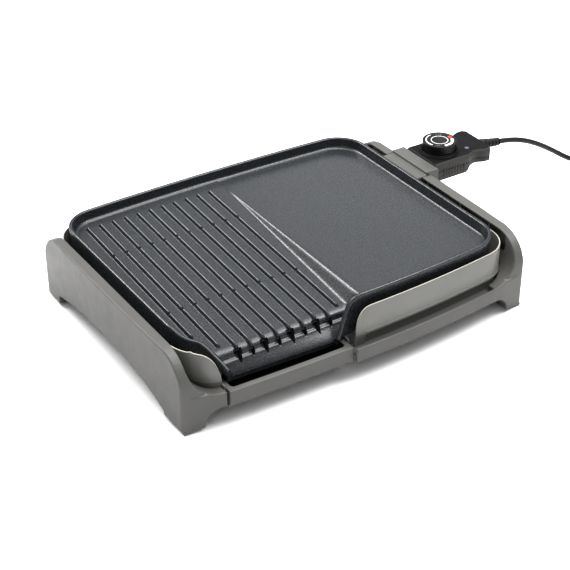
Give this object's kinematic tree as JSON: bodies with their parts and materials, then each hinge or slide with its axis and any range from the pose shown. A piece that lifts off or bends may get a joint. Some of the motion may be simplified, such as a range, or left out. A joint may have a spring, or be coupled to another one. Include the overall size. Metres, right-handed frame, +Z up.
{
  "type": "electric griddle",
  "caption": "Table-top electric griddle: half-ribbed, half-flat cast plate on a low base with a front drip tray and a plug-in dial thermostat on a mains lead.",
  "frame": {"origin": "on the surface it stands on, under the middle of the appliance's outline with the thermostat plugged in and the lead left out", "axes": "+Z up, -Y towards the front with the drip tray, +X towards the thermostat"},
  "size_m": [0.8805, 0.379, 0.1146],
  "materials": {
    "housing": "satin warm grey paint on moulded plastic",
    "shell": "lighter grey satin moulding",
    "reflector": "plain rolled sheet",
    "bakelite": "moulded phenolic",
    "rubber": "matt",
    "screw": "zinc plated",
    "nonstick": "speckled satin non-stick coating on die-cast aluminium",
    "cast": "coated casting",
    "element": "heat-tinted sheath",
    "terminal": "nickel plated",
    "ceramic": "unglazed steatite",
    "tube": "drawn stainless tube",
    "brass": "stamped",
    "case": "black moulded, fine spark-eroded grain",
    "bimetal": "rolled bimetal",
    "lamp": "neon bulb",
    "lens": "translucent lens",
    "dial": null,
    "lead": "black round flex",
    "tie": "plastic-coated tie",
    "plug": "moulded-on plug"
  },
  "bodies": {
    "base": {"left_end_panel": "housing", "right_end_panel": "housing", "front_rail": "housing", "rear_rail": "housing", "inner_shell": "shell", "heat_reflector": "reflector", "plate_support_posts": "bakelite", "tray_guide_left": "housing", "tray_guide_right": "housing", "rubber_feet": "rubber", "base_screws": "screw", "post_screws": "screw"},
    "tray": {"drip_tray": "housing"},
    "plate": {"cooking_plate": "nonstick", "plate_studs": "cast", "heating_element": "element", "terminal_pins": "terminal", "terminal_insulators": "ceramic", "probe_sleeve": "tube", "inlet_hood": "housing", "hood_screws": "screw", "earth_pin": "brass"},
    "thermostat": {"thermostat_upper_case": "case", "thermostat_lower_case": "case", "probe_tube": "tube", "contact_carrier": "ceramic", "contact_sleeves": "brass", "earth_spring": "terminal", "switch_base": "ceramic", "bimetal_strip": "bimetal", "contact_leaf": "brass", "supply_terminals": "brass", "indicator_lamp": "lamp", "indicator_lens": "lens", "cord_clamp": "case", "case_screws": "screw", "dial_bezel": "case", "strain_relief": "lead", "cord_lead": "lead", "cord_coil": "lead", "coil_tie": "tie", "cord_tail": "lead", "plug_body": "plug", "plug_pins": "terminal"},
    "dial": {"dial_knob": "dial", "dial_spindle": "brass"}
  },
  "joints": [
    {"name": "tray_slide", "type": "slide", "parent": "base", "child": "tray", "axis": [0, -1, 0], "range_m": [0, 0.1]},
    {"name": "plate_lift", "type": "slide", "parent": "base", "child": "plate", "axis": [0, 0, 1], "range_m": [0, 0.08]},
    {"name": "thermostat_plug", "type": "slide", "parent": "plate", "child": "thermostat", "axis": [1, 0, 0], "range_m": [0, 0.11]},
    {"name": "dial_turn", "type": "hinge", "parent": "thermostat", "child": "dial", "pos_m": [0.226, 0.0555, 0.11], "axis": [0, 0, -1], "range_deg": [0, 270]}
  ]
}
